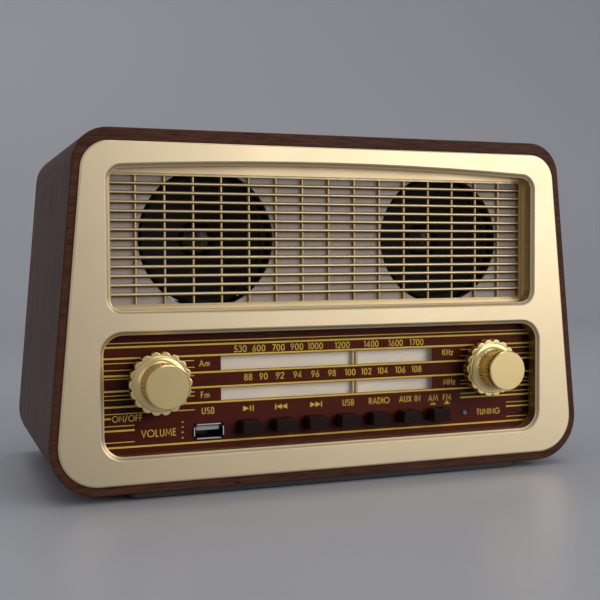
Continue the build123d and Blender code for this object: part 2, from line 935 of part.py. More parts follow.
leave = [run_angle(here, there) for here, there in zip(pulleys, pulleys[1:] + pulleys[:1])]
with BuildPart() as dial_cord:
    with BuildLine(facing(cord_depth)) as cord_path:
        for turn, pulley in enumerate(pulleys):
            following = pulleys[(turn + 1) % len(pulleys)]
            arrive = leave[turn - 1]
            sweep_angle = (arrive - leave[turn]) % (2 * math.pi)
            middle = arrive - sweep_angle / 2
            ThreePointArc(
                on_pulley(pulley, arrive),
                on_pulley(pulley, middle),
                on_pulley(pulley, leave[turn]),
            )
            Line(on_pulley(pulley, leave[turn]), on_pulley(following, leave[turn]))
    first_run = cord_path.edges().filter_by(GeomType.LINE).sort_by(Axis.Z)[-1]
    with BuildSketch(Plane(origin=first_run @ 0.5, z_dir=first_run % 0.5)):
        Circle(cord_radius)
    sweep(path=cord_path.wires()[0])
finish(dial_cord, "dial_cord")

with BuildPart() as pointer_rail:
    with BuildSketch(Plane.YZ.offset(-tab_x - 1.5)):
        with Locations((front + rail_depth, wood_lift + rail_z)):
            Circle(rail_radius)
    extrude(amount=2 * tab_x + 3)
finish(pointer_rail, "pointer_rail")

carriage_front = 18.8
carriage_back = 22.6
needle_front = 10.8
needle_thick = 0.6
needle_low = 36.0
arm_low = 72.6
arm_high = 73.8
with BuildPart() as dial_pointer:
    with BuildSketch(facing(carriage_back)):
        with Locations((pointer_x, rail_z + 0.2)):
            Rectangle(9, 4.0)
    extrude(amount=carriage_back - carriage_front)
    # Clip round the cord
    with BuildSketch(facing(26.2)):
        with Locations((pointer_x, cord_run_z)):
            Rectangle(4, 2.4)
    extrude(amount=26.2 - carriage_back)
    # Arm over the tray, and the needle in front of it
    with BuildSketch(facing(carriage_front)):
        with Locations((pointer_x, (arm_low + arm_high) / 2)):
            Rectangle(pointer_width, arm_high - arm_low)
    extrude(amount=carriage_front - needle_front)
    with BuildSketch(facing(needle_front + needle_thick)):
        with Locations((pointer_x, (needle_low + arm_high) / 2)):
            Rectangle(pointer_width, arm_high - needle_low)
    extrude(amount=needle_thick)
    with BuildSketch(Plane.YZ.offset(pointer_x - 6)):
        with Locations((front + rail_depth, wood_lift + rail_z)):
            Circle(rail_radius + running_gap)
        with Locations((front + cord_depth, wood_lift + cord_run_z)):
            Circle(cord_radius + 0.15)
    extrude(amount=12, mode=Mode.SUBTRACT)
finish(dial_pointer, "dial_pointer")

# ---- Keys, USB socket and status light -------------------------------------------------------

collar_front = 10.0
collar_back = 11.2
stem_back = 15.4
switch_front = 15.0
for name, x in zip(key_names, key_places):
    with BuildPart() as key:
        with BuildSketch(facing(collar_front)):
            with Locations((x, key_z)):
                RectangleRounded(key_width, key_height, 0.5)
        extrude(amount=collar_front - key_face)
        fillet(key.edges().group_by(Axis.Y)[0], 0.45)
        with BuildSketch(facing(collar_back)):
            with Locations((x, key_z)):
                Rectangle(key_width + 3, key_height + 2.4)
        extrude(amount=collar_back - collar_front)
        with BuildSketch(facing(stem_back)):
            with Locations((x, key_z)):
                Rectangle(3, 3)
        extrude(amount=stem_back - collar_back)
    finish(key, name)

with BuildPart() as key_switches:
    with BuildSketch(facing(board_front)):
        with Locations(*[(x, key_z) for x in key_places]):
            Rectangle(8.4, 8.4)
            Rectangle(3.3, 3.3, mode=Mode.SUBTRACT)
    extrude(amount=board_front - switch_front)
finish(key_switches, "key_switches")

usb_mouth = 7.8
usb_neck = 9.2
usb_back = 21.9
with BuildPart() as usb_socket:
    with BuildSketch(facing(usb_back)):
        with Locations((usb_x, usb_z)):
            Rectangle(13.2, 5.8)
    extrude(amount=usb_back - usb_neck)
    with BuildSketch(facing(usb_neck)):
        with Locations((usb_x, usb_z)):
            Rectangle(13.2, 5.8)
    with BuildSketch(facing(usb_mouth)):
        with Locations((usb_x, usb_z)):
            Rectangle(14.6, 7.1)
    loft()
    with BuildSketch(facing(usb_back - 0.5)):
        with Locations((usb_x, usb_z)):
            Rectangle(12.4, 5.0)
    extrude(amount=usb_back - 0.5 - usb_neck, mode=Mode.SUBTRACT)
    with BuildSketch(facing(usb_neck)):
        with Locations((usb_x, usb_z)):
            Rectangle(12.4, 5.0)
    with BuildSketch(facing(usb_mouth)):
        with Locations((usb_x, usb_z)):
            Rectangle(13.8, 6.3)
    loft(mode=Mode.SUBTRACT)
    # Corner slits between the four flared lips
    with BuildSketch(facing(usb_neck)):
        with Locations((usb_x, usb_z)):
            with GridLocations(13.6, 6.2, 2, 2):
                Rectangle(2.0, 2.0)
    extrude(amount=usb_neck - usb_mouth + 0.2, mode=Mode.SUBTRACT)
finish(usb_socket, "usb_socket")

with BuildPart() as usb_tongue:
    with BuildSketch(facing(usb_back - 0.5)):
        with Locations((usb_x, usb_z + 1.2)):
            Rectangle(11.1, 1.84)
    extrude(amount=11)
finish(usb_tongue, "usb_tongue")

with BuildPart() as status_led:
    with BuildSketch(turning(led_x, led_z)):
        with BuildLine():
            ThreePointArc((0, 7.2), (0.8, 7.5), (1.15, 8.2))
            Polyline(
                (1.15, 8.2),
                (1.15, 10.2),
                (1.9, 10.2),
                (1.9, 11.0),
                (1.5, 11.0),
                (1.5, board_front),
                (0, board_front),
                (0, 7.2),
            )
        make_face()
    revolve(axis=shaft_line(led_x, led_z))
finish(status_led, "status_led")

# ---- Power supply, main board and ferrite aerial ---------------------------------------------

floor_top = wood_lift + wood_wall
board_rest = 6.0
main_size = (130.0, 62.0)
main_middle = (30.0, 98.0)
rod_z = 34.0
rod_front = 72.0
rod_span = 100.0
rod_radius = 5.0
with BuildPart() as main_board:
    with BuildSketch(Plane.XY.offset(floor_top + board_rest)):
        with Locations((main_middle[0], front + main_middle[1])):
            Rectangle(*main_size)
    extrude(amount=1.6)
    with BuildSketch(Plane.XY.offset(floor_top)):
        with Locations((main_middle[0], front + main_middle[1])):
            with GridLocations(main_size[0] - 10, main_size[1] - 10, 2, 2):
                Circle(3)
    extrude(amount=board_rest)
    # Smoothing capacitors, the amplifier's heat sink and the ferrite rod's two posts
    with BuildSketch(Plane.XY.offset(floor_top + board_rest + 1.6)):
        with Locations((0, front + 112), (16, front + 112)):
            Circle(6)
        with Locations((60, front + 110)):
            Rectangle(30, 3)
    extrude(amount=22)
    with BuildSketch(Plane.XY.offset(floor_top + board_rest + 1.6)):
        with Locations((main_middle[0], front + rod_front)):
            with GridLocations(80, 0, 2, 1):
                Rectangle(4, 8)
    extrude(amount=wood_lift + rod_z - floor_top - board_rest - 1.6)
    with BuildSketch(Plane.YZ.offset(main_middle[0] - rod_span / 2)):
        with Locations((front + rod_front, wood_lift + rod_z)):
            Circle(rod_radius)
    extrude(amount=rod_span, mode=Mode.SUBTRACT)
finish(main_board, "main_board")

with BuildPart() as ferrite_rod:
    with BuildSketch(Plane.YZ.offset(main_middle[0] - rod_span / 2)):
        with Locations((front + rod_front, wood_lift + rod_z)):
            Circle(rod_radius)
    extrude(amount=rod_span)
    # The aerial coil wound on it
    with BuildSketch(Plane.YZ.offset(main_middle[0] - 30)):
        with Locations((front + rod_front, wood_lift + rod_z)):
            Circle(rod_radius + 1)
    extrude(amount=28)
finish(ferrite_rod, "ferrite_rod")

core_middle = (-78.0, 100.0)
core_size = (46.0, 20.0)
core_height = 38.0
leg = 8.0
slot = core_size[0] / 2 - 2 * leg
with BuildPart() as transformer_core:
    with BuildSketch(facing(core_middle[1] + core_size[1] / 2)):
        with Locations((core_middle[0], wood_wall + core_height / 2)):
            Rectangle(core_size[0], core_height)
            with GridLocations(core_size[0] / 2, 0, 2, 1):
                Rectangle(slot, core_height - 2 * leg, mode=Mode.SUBTRACT)
    extrude(amount=core_size[1])
finish(transformer_core, "transformer_core")

with BuildPart() as transformer_coil:
    with BuildSketch(Plane.XY.offset(floor_top + leg)):
        with Locations((core_middle[0], front + core_middle[1])):
            Rectangle(2 * leg + 2 * slot, core_size[1] + 2 * slot)
            Rectangle(2 * leg, core_size[1], mode=Mode.SUBTRACT)
    extrude(amount=core_height - 2 * leg)
finish(transformer_coil, "transformer_coil")

# ---- Telescopic aerial on the rear panel -----------------------------------------------------

base_high = 3.1
tilt_pin = 1.1
eye_half = 2.2
eye_radius = 2.9
tube_radius = 3.0
tube_bore = 2.36
middle_radius = 2.3
middle_bore = 1.66
tip_radius = 1.6
tube_start = antenna_x - 4.8
tube_end = -70.0
middle_end = -73.0
tip_end = -76.0
tip_cap = 5.0


def across(x):
    """Plane square to the X axis at x; local (Y, Z)."""
    return Plane.YZ.offset(x)


rod_place = (front + rod_depth, wood_lift + antenna_z)
with BuildPart() as antenna_base:
    with BuildSketch(facing(rear_back + base_high)):
        with Locations((antenna_x, antenna_z)):
            Circle(8.5)
    extrude(amount=base_high)
    chamfer(antenna_base.edges().group_by(Axis.Y)[-1], 0.8)
    with BuildSketch(facing(rear_back + base_high)):
        with Locations((antenna_x, antenna_z)):
            Circle(swivel_radius + running_gap)
    extrude(amount=base_high - 0.6, mode=Mode.SUBTRACT)
finish(antenna_base, "antenna_base")

knuckle_face = rear_back + base_high + running_gap
with BuildPart() as antenna_knuckle:
    with BuildSketch(facing(rod_depth - tube_radius - 0.2)):
        with Locations((antenna_x, antenna_z)):
            Circle(6.5)
    extrude(amount=rod_depth - tube_radius - 0.2 - knuckle_face)
    with BuildSketch(facing(knuckle_face)):
        with Locations((antenna_x, antenna_z)):
            Circle(swivel_radius)
    extrude(amount=2.4)
    # Two ears, above and below the rod, and the pin between them
    for low in (eye_half + running_gap, -eye_half - running_gap - 1.9):
        with BuildSketch(Plane.XY.offset(rod_place[1] + low)):
            with Locations((antenna_x, rod_place[0])):
                Circle(knuckle_reach)
                Rectangle(
                    2 * knuckle_reach,
                    tube_radius + 0.6,
                    align=(Align.CENTER, Align.MAX),
                )
        extrude(amount=1.9)
    with BuildSketch(Plane.XY.offset(rod_place[1] - eye_half - 1)):
        with Locations((antenna_x, rod_place[0])):
            Circle(tilt_pin)
    extrude(amount=2 * eye_half + 2)
finish(antenna_knuckle, "antenna_knuckle")

with BuildPart() as antenna_tube:
    with BuildSketch(across(tube_end)):
        with Locations(rod_place):
            Circle(tube_radius)
    extrude(amount=tube_start - tube_end)
    with BuildSketch(Plane.XY.offset(rod_place[1] - eye_half)):
        with Locations((antenna_x, rod_place[0])):
            Circle(eye_radius)
            Rectangle(6, 3.6, align=(Align.MAX, Align.CENTER))
    extrude(amount=2 * eye_half)
    with BuildSketch(across(tube_end)):
        with Locations(rod_place):
            Circle(tube_bore)
    extrude(amount=tube_start - 4 - tube_end, mode=Mode.SUBTRACT)
    with BuildSketch(Plane.XY.offset(rod_place[1] - eye_half - 1)):
        with Locations((antenna_x, rod_place[0])):
            Circle(tilt_pin + running_gap)
    extrude(amount=2 * eye_half + 2, mode=Mode.SUBTRACT)
finish(antenna_tube, "antenna_tube")

with BuildPart() as antenna_middle:
    with BuildSketch(across(middle_end)):
        with Locations(rod_place):
            Circle(middle_radius)
            Circle(middle_bore, mode=Mode.SUBTRACT)
    extrude(amount=tube_start - 5 - middle_end)
finish(antenna_middle, "antenna_middle")

with BuildPart() as antenna_tip:
    with BuildSketch(across(tip_end)):
        with Locations(rod_place):
            Circle(tip_radius)
    extrude(amount=tube_start - 7 - tip_end)
    with BuildSketch(across(tip_end - tip_cap)):
        with Locations(rod_place):
            Circle(2.8)
    extrude(amount=tip_cap)
    fillet(antenna_tip.edges().group_by(Axis.X)[0], 1.2)
finish(antenna_tip, "antenna_tip")
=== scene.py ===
import math

import bpy
from mathutils import Matrix, Vector


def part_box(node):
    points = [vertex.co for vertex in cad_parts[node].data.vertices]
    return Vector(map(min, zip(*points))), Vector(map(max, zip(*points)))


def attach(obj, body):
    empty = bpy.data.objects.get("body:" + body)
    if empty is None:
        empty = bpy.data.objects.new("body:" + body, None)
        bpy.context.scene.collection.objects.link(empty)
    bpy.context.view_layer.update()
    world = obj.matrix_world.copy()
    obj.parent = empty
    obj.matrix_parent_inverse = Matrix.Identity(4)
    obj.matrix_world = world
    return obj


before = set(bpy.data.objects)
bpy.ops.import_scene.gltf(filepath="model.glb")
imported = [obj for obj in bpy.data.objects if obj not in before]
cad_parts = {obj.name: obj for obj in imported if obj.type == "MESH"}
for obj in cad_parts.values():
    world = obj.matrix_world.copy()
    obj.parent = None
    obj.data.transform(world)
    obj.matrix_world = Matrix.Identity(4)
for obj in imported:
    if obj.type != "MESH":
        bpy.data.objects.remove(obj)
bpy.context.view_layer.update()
scene = bpy.context.scene

# ---- Places on the radio, in millimetres, as the CAD measures them ---------------------------
# x to the right of the middle, z above the wood's underside, depth behind the bezel's face.

MM = 0.001
front_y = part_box("front_bezel")[0][1]
wood_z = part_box("cabinet_shell")[0][2]
film_depth = (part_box("dial_print")[0][1] - front_y) / MM
pointer_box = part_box("dial_pointer")


def spot(x, z, depth):
    """A point of the radio in the row's frame, in metres."""
    return Vector((x * MM, front_y + depth * MM, wood_z + z * MM))


# ---- Materials -------------------------------------------------------------------------------


class Surface:
    """A material on one Principled shader, with short calls for the nodes that feed it."""

    def __init__(self, name, colour, rough, metal=0.0, **sockets):
        self.material = bpy.data.materials.new(name)
        self.material.use_nodes = True
        self.nodes = self.material.node_tree.nodes
        self.links = self.material.node_tree.links
        self.shader = self.nodes["Principled BSDF"]
        self.shader.inputs["Base Color"].default_value = (*colour, 1)
        self.shader.inputs["Roughness"].default_value = rough
        self.shader.inputs["Metallic"].default_value = metal
        for socket, value in sockets.items():
            self.shader.inputs[socket.replace("_", " ")].default_value = value

    def add(self, kind, settings=None, **sockets):
        """A new node; each socket takes a value or another node's output."""
        node = self.nodes.new("ShaderNode" + kind)
        for key, value in (settings or {}).items():
            setattr(node, key, value)
        for socket, value in sockets.items():
            place = node.inputs[int(socket[1:])] if socket[0] == "_" else node.inputs[socket]
            if isinstance(value, bpy.types.NodeSocket):
                self.links.new(value, place)
            else:
                place.default_value = value
        return node

    def place(self, scale):
        """Object coordinates stretched by this scale, per metre."""
        coords = self.add("TexCoord").outputs["Object"]
        return self.add("Mapping", Vector=coords, Scale=scale).outputs["Vector"]

    def noise(self, scale, detail=4.0, rough=0.55):
        """Noise stretched along the axes with a small scale."""
        node = self.add("TexNoise", Vector=self.place(scale), Scale=1.0, Detail=detail, Roughness=rough)
        return node.outputs["Fac"]

    def math(self, operation, *values):
        """One Math node."""
        sockets = {f"_{i}": value for i, value in enumerate(values)}
        return self.add("Math", {"operation": operation}, **sockets).outputs[0]

    def ramp(self, value, *stops):
        """A colour ramp with (place, colour) stops."""
        node = self.add("ValToRGB", Fac=value)
        elements = node.color_ramp.elements
        while len(elements) < len(stops):
            elements.new(0.5)
        for element, (place, colour) in zip(elements, stops):
            element.position = place
            element.color = (*colour, 1)
        return node.outputs["Color"]

    def grey(self, value, *stops):
        """A ramp of plain values."""
        return self.ramp(value, *[(place, (level,) * 3) for place, level in stops])

    def mix(self, factor, first, second):
        """Two colours mixed."""
        node = self.add("Mix", {"data_type": "RGBA"})
        sockets = (node.inputs["Factor"], node.inputs[6], node.inputs[7])
        for socket, value in zip(sockets, (factor, first, second)):
            if isinstance(value, bpy.types.NodeSocket):
                self.links.new(value, socket)
            else:
                socket.default_value = value if isinstance(value, float) else (*value, 1)
        return node.outputs[2]

    def feed(self, socket, output):
        """Drives one of the shader's sockets."""
        self.links.new(output, self.shader.inputs[socket])
        return self

    def bump(self, height, strength, distance=0.0002):
        """Relief from a height value."""
        node = self.add("Bump", Height=height, Strength=strength, Distance=distance)
        return self.feed("Normal", node.outputs["Normal"])

    def at(self, axis):
        """One object coordinate, in metres."""
        return self.add("SeparateXYZ", Vector=self.add("TexCoord").outputs["Object"]).outputs[axis]

    def normal(self, axis):
        """One part of the surface's own direction, in the row's frame."""
        parts = self.add("SeparateXYZ", Vector=self.add("TexCoord").outputs["Normal"])
        return parts.outputs[axis]


def walnut():
    """Dark veneer: the grain wraps round the case and runs level across its front edge."""
    s = Surface("walnut", (0.06, 0.025, 0.015), 0.42, Specular_IOR_Level=0.1)
    on_front = s.math("GREATER_THAN", s.math("ABSOLUTE", s.normal("Y")), 0.6)

    def grain(wrap, level, detail):
        return s.mix(on_front, s.noise(wrap, detail), s.noise(level, detail))

    broad = grain((5, 190, 5), (9, 1, 260), 3.0)
    fibre = grain((24, 1500, 24), (60, 1, 1700), 5.0)
    pores = s.grey(grain((70, 2600, 70), (130, 1, 2600), 2.0), (0.33, 0.0), (0.42, 1.0))
    base = s.ramp(
        broad,
        (0.25, (0.024, 0.0075, 0.0040)),
        (0.5, (0.060, 0.0215, 0.0115)),
        (0.78, (0.115, 0.046, 0.025)),
    )
    tone = s.mix(0.55, base, s.ramp(fibre, (0.3, (0.024, 0.007, 0.004)), (0.7, (0.165, 0.062, 0.032))))
    s.feed("Base Color", s.mix(pores, (0.011, 0.0045, 0.003), tone))
    s.feed("Roughness", s.grey(fibre, (0.3, 0.5), (0.7, 0.36)))
    s.bump(s.mix(0.5, fibre, pores), 0.35, 0.00012)
    return s.material


ledge_depth = 8.2 * MM  # the upper window's ledge, behind the bezel's face


def shaded(colour, level):
    """The colour made darker or lighter."""
    return tuple(min(part * level, 1) for part in colour)


def satin_gold(name, colour, rough):
    """Metallic paint with a fine flake, with painted shade: browner down in the windows' lips and walls."""
    s = Surface(name, colour, rough, 1.0)
    cloud = s.noise((22, 22, 22), 3.0)
    s.feed("Roughness", s.grey(cloud, (0.3, rough - 0.03), (0.7, rough + 0.04)))
    tint = s.mix(s.noise((4200, 4200, 4200), 1.0), shaded(colour, 0.94), shaded(colour, 1.05))
    depth = s.math("SUBTRACT", s.at("Y"), front_y)
    # Painted shade by depth behind the face: a dark line part way down each rounded or sloped edge, and
    # browner walls deeper in the windows, where shade falls.
    painted_recess_shade = s.grey(
        s.math("DIVIDE", depth, ledge_depth),
        (0.03, 0.0),
        (0.05, 0.7),
        (0.09, 0.6),
        (0.115, 0.1),
        (0.15, 0.15),
        (0.19, 0.65),
        (0.75, 0.3),
    )
    s.feed("Base Color", s.mix(painted_recess_shade, tint, (0.30, 0.19, 0.07)))
    s.bump(s.noise((3600, 3600, 3600), 2.0), 0.05, 0.00003)
    return s.material


def lattice_gold():
    """Gold on the bars' tops and noses, with painted shade: brown on the sides that look down or along the
    row.
    """
    s = Surface("lattice_gold", (0.7, 0.58, 0.36), 0.34, 0.85)
    # Painted shade: the lower half of each bar, which looks down, turns brown.
    facing_down = s.math("MULTIPLY_ADD", s.normal("Z"), -0.5, 0.5)
    tone = s.ramp(
        facing_down,
        (0.36, (0.80, 0.65, 0.40)),
        (0.54, (0.50, 0.36, 0.16)),
        (0.80, (0.10, 0.052, 0.02)),
    )
    wear = s.noise((260, 260, 260), 3.0)
    # Painted shade: faces turned left or right, mostly the columns' sides, turn brown.
    painted_side_shade = s.grey(s.math("ABSOLUTE", s.normal("X")), (0.25, 0.0), (0.8, 0.75))
    # Real wear adds a little brown on top of the painted shade.
    worn_and_painted_shade = s.mix(s.math("MULTIPLY", wear, 0.12), tone, (0.2, 0.13, 0.07))
    s.feed("Base Color", s.mix(painted_side_shade, worn_and_painted_shade, (0.30, 0.19, 0.08)))
    s.feed("Roughness", s.grey(wear, (0.3, 0.28), (0.7, 0.42)))
    return s.material


def metallised_gold(name, colour, rough):
    """Vacuum-metallised plastic: bright, slightly uneven, with fine handling marks."""
    s = Surface(name, colour, rough, 1.0)
    marks = s.noise((420, 420, 420), 5.0, 0.6)
    s.feed("Roughness", s.grey(marks, (0.3, rough - 0.02), (0.7, rough + 0.04)))
    s.feed("Base Color", s.mix(s.noise((90, 90, 90), 3.0), shaded(colour, 0.93), colour))
    s.bump(s.noise((260, 260, 260), 3.0), 0.05, 0.00002)
    return s.material


def cloth_board():
    """Speaker board covered in a fine beige-grey weave, with dark painted shade on the edges round its holes.
    """
    s = Surface("cloth_board", (0.42, 0.36, 0.31), 0.85, Sheen_Weight=0.15)
    threads = []
    for direction in ("X", "Z"):
        wave = s.add(
            "TexWave",
            {"bands_direction": direction},
            Vector=s.place((1, 1, 1)),
            Scale=640.0,
            Distortion=1.2,
            Detail=1.0,
        )
        threads.append(wave.outputs["Fac"])
    weave = s.math("MULTIPLY", *threads)
    slub = s.noise((900, 900, 110), 3.0)
    cloth = s.mix(slub, (0.40, 0.335, 0.285), (0.57, 0.49, 0.43))
    on_face = s.math("GREATER_THAN", s.math("ABSOLUTE", s.normal("Y")), 0.5)
    # Painted shade: surfaces that don't face the front, mainly the holes' walls, are near-black.
    s.feed("Base Color", s.mix(on_face, (0.02, 0.016, 0.013), cloth))
    s.bump(s.math("ADD", weave, slub), 0.5, 0.0002)
    return s.material


def clear_acrylic():
    """Polished clear panel of low index, so it hardly mirrors; lamps light what is behind it."""
    s = Surface("clear_acrylic", (1, 1, 1), 0.015, 0.0, Transmission_Weight=1.0, IOR=1.2)
    lamp_ray = s.add("LightPath").outputs["Is Shadow Ray"]
    clear = s.add("BsdfTransparent")
    mixed = s.add("MixShader", _0=lamp_ray, _1=s.shader.outputs[0], _2=clear.outputs[0])
    s.links.new(mixed.outputs[0], s.nodes["Material Output"].inputs["Surface"])
    return s.material


def maroon_print():
    """Deep maroon ink on the panel's back, a little browner and lighter in soft clouds."""
    s = Surface("maroon_print", (0.055, 0.013, 0.012), 0.30, Specular_IOR_Level=0.0)
    cloud = s.noise((12, 12, 12), 3.0)
    s.feed("Base Color", s.mix(cloud, (0.170, 0.026, 0.0150), (0.240, 0.041, 0.0255)))
    s.feed("Roughness", s.grey(s.noise((600, 600, 600), 2.0), (0.3, 0.28), (0.7, 0.34)))
    return s.material


def gold_ink():
    """Printed gold lines and letters."""
    s = Surface("gold_ink", (0.60, 0.40, 0.06), 0.5, 0.0, Specular_IOR_Level=0.0)
    s.feed("Base Color", s.mix(s.noise((900, 900, 900), 2.0), (0.66, 0.44, 0.055), (0.82, 0.56, 0.085)))
    return s.material


def moulded(name, colour, rough, grain=0.25, size=1400, shine=0.5):
    """Moulded plastic with a fine surface texture."""
    s = Surface(name, colour, rough, Specular_IOR_Level=shine)
    spots = s.noise((size, size, size), 2.0)
    s.feed("Roughness", s.grey(spots, (0.3, rough - 0.05), (0.7, rough + 0.06)))
    s.feed("Base Color", s.mix(s.noise((45, 45, 45), 3.0), shaded(colour, 0.85), shaded(colour, 1.1)))
    s.bump(spots, grain, 0.00008)
    return s.material


def drawn_metal(name, colour, rough, along):
    """Bare or plated metal with fine marks along one direction."""
    s = Surface(name, colour, rough, 1.0)
    marks = s.noise(along, 4.0)
    s.feed("Roughness", s.grey(marks, (0.3, rough - 0.06), (0.7, rough + 0.10)))
    s.feed("Base Color", s.mix(marks, shaded(colour, 0.85), colour))
    s.bump(marks, 0.08, 0.00005)
    return s.material


def socket_plate():
    """Plated socket, bright outside, with painted shade making it dark inside its mouth."""
    plate = (0.78, 0.78, 0.79)
    s = Surface("socket_plate", plate, 0.14, 1.0)
    corner, far_corner = (Vector(end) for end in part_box("usb_socket"))
    centre = (corner + far_corner) / 2
    reach = centre - corner - Vector((1, 1, 1)) * 0.55 * MM
    in_shaded_mouth = []
    for axis, place, half in (("X", centre.x, reach.x), ("Z", centre.z, reach.z)):
        offset = s.math("ABSOLUTE", s.math("SUBTRACT", s.at(axis), place))
        in_shaded_mouth.append(s.math("LESS_THAN", offset, half))
    # Painted shade: the plate turns near-black inside the mouth, where the recess is in shade.
    s.feed("Base Color", s.mix(s.math("MULTIPLY", *in_shaded_mouth), plate, (0.03, 0.03, 0.032)))
    return s.material


def pressed_paper():
    """Black cone paper with short fibres."""
    s = Surface("pressed_paper", (0.012, 0.011, 0.010), 0.8)
    fibres = s.noise((900, 900, 900), 6.0, 0.7)
    s.feed("Base Color", s.mix(fibres, (0.0025, 0.0022, 0.002), (0.010, 0.009, 0.008)))
    s.bump(fibres, 0.5, 0.0002)
    return s.material


def pointer_strip():
    """Amber strip with a thin dark red line down its middle."""
    s = Surface("pointer_strip", (0.45, 0.30, 0.12), 0.25)
    half_line = 0.42 * MM
    pointer_x = (pointer_box[0][0] + pointer_box[1][0]) / 2
    offset = s.math("ABSOLUTE", s.math("SUBTRACT", s.at("X"), pointer_x))
    on_line = s.math("LESS_THAN", offset, half_line)
    amber = s.mix(s.noise((300, 300, 40), 2.0), (0.42, 0.29, 0.13), (0.58, 0.43, 0.22))
    s.feed("Base Color", s.mix(on_line, amber, (0.10, 0.018, 0.012)))
    return s.material


def circuit_board():
    """Green lacquered board with tracks showing through."""
    s = Surface("circuit_board", (0.02, 0.10, 0.04), 0.3, Coat_Weight=0.4)
    tracks = s.add("TexVoronoi", {"distance": "MANHATTAN"}, Vector=s.place((260, 260, 260)), Scale=1.0)
    edge = s.grey(tracks.outputs["Distance"], (0.30, 0.0), (0.36, 1.0))
    s.feed("Base Color", s.mix(edge, (0.035, 0.15, 0.055), (0.015, 0.075, 0.03)))
    return s.material


def wound_copper():
    """Turns of enamelled wire, laid level."""
    s = Surface("wound_copper", (0.45, 0.17, 0.05), 0.3, 0.9)
    turns = s.add("TexWave", {"bands_direction": "Z"}, Vector=s.place((1, 1, 1)), Scale=320.0, Distortion=0.4)
    s.feed("Base Color", s.mix(turns.outputs["Fac"], (0.16, 0.05, 0.015), (0.55, 0.22, 0.07)))
    s.bump(turns.outputs["Fac"], 0.6, 0.0003)
    return s.material


def stacked_iron():
    """Edges of the transformer's thin sheets."""
    s = Surface("stacked_iron", (0.13, 0.13, 0.135), 0.45, 0.8)
    whole = s.place((1, 1, 1))
    sheets = s.add("TexWave", {"bands_direction": "Y"}, Vector=whole, Scale=320.0, Distortion=0.2)
    s.feed("Base Color", s.mix(sheets.outputs["Fac"], (0.05, 0.05, 0.055), (0.2, 0.2, 0.205)))
    s.bump(sheets.outputs["Fac"], 0.5, 0.0003)
    return s.material


def soft_wood():
    """Pale sawn blocks."""
    s = Surface("soft_wood", (0.5, 0.35, 0.2), 0.7)
    rings = s.noise((260, 20, 260), 4.0)
    s.feed("Base Color", s.mix(rings, (0.42, 0.27, 0.14), (0.62, 0.46, 0.28)))
    s.bump(rings, 0.3, 0.0002)
    return s.material


def paint(material, *nodes):
    """Puts a material on CAD nodes."""
    for name in nodes:
        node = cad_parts[name]
        if not node.material_slots:
            node.data.materials.append(material)
        for place in node.material_slots:
            place.material = material


keys = ["play", "previous", "next", "usb", "radio", "aux", "band"]
pale_gold = (0.77, 0.625, 0.40)
black_moulding = moulded("black_moulding", (0.012, 0.011, 0.011), 0.42)
steel = drawn_metal("steel", (0.56, 0.56, 0.57), 0.28, (900, 60, 900))
zinc = drawn_metal("zinc_sheet", (0.60, 0.61, 0.60), 0.38, (60, 900, 600))
white_moulding = moulded("white_moulding", (0.72, 0.71, 0.67), 0.4)
chrome = drawn_metal("bright_plate", (0.82, 0.82, 0.83), 0.10, (40, 900, 900))

paint(walnut(), "cabinet_shell")
paint(soft_wood(), "corner_blocks")
paint(black_moulding, "base_plinth", "mains_inlet", "antenna_base")
paint(moulded("foot_rubber", (0.016, 0.016, 0.016), 0.75, 0.4), "foot_pads")
paint(satin_gold("champagne_gold", pale_gold, 0.36), "front_bezel")
paint(lattice_gold(), "speaker_grille")
paint(cloth_board(), "speaker_baffle")
paint(clear_acrylic(), "dial_glass")
paint(maroon_print(), "dial_print")
paint(moulded("scale_cream", (0.82, 0.71, 0.55), 0.55, 0.1), "scale_tray")
paint(zinc, "dial_chassis")
paint(steel, "chassis_screws", "rear_screws", "speaker_screws", "inlet_pins", "idler_pins", "pointer_rail")
paint(steel, "volume_shaft", "volume_pot", "tuning_spindle")
paint(drawn_metal("brass", (0.70, 0.50, 0.22), 0.25, (900, 60, 900)), "tuning_bush")
paint(circuit_board(), "key_board", "main_board")
paint(metallised_gold("knob_gold", (0.80, 0.615, 0.29), 0.22), "volume_knob", "tuning_knob")
paint(moulded("key_black", (0.017, 0.008, 0.006), 0.22, 0.08, 500, 0.1), *[f"{key}_button" for key in keys])
paint(pressed_paper(), "left_speaker_cone", "right_speaker_cone")
paint(moulded("dust_cap_black", (0.004, 0.004, 0.004), 0.14, 0.05), "left_dust_cap", "right_dust_cap")
basket_black = moulded("basket_black", (0.006, 0.006, 0.006), 0.6, shine=0.1)
paint(basket_black, "left_speaker_basket", "right_speaker_basket")
paint(moulded("magnet_grey", (0.05, 0.05, 0.055), 0.5), "left_speaker_magnet", "right_speaker_magnet")
paint(white_moulding, "dial_drum", "left_idler", "right_idler", "tuning_capacitor")
# The white tongue is darkened to grey as painted shade inside the socket's mouth.
paint(moulded("white_tongue_painted_shade", (0.45, 0.45, 0.44), 0.4), "usb_tongue")
paint(moulded("dial_cord_fibre", (0.35, 0.27, 0.15), 0.8, 0.5, 3000), "dial_cord")
paint(pointer_strip(), "dial_pointer")
paint(moulded("switch_black", (0.015, 0.015, 0.015), 0.5), "key_switches")
paint(socket_plate(), "usb_socket")
paint(moulded("lamp_lens", (0.24, 0.245, 0.26), 0.12, 0.05), "status_led")
paint(moulded("ferrite", (0.03, 0.03, 0.033), 0.5), "ferrite_rod")
paint(stacked_iron(), "transformer_core")
paint(wound_copper(), "transformer_coil")
paint(moulded("rear_board", (0.014, 0.013, 0.012), 0.6, 0.5, 700), "rear_panel")
paint(chrome, "antenna_knuckle", "antenna_tube", "antenna_middle", "antenna_tip")

# ---- Printed scale ---------------------------------------------------------------------------

ink_lift = 0.03  # the ink stands this far in front of the film, in millimetres
ink_thick = 0.02
mitre_limit = 1.8  # how far a sharp corner may stick out, in half widths


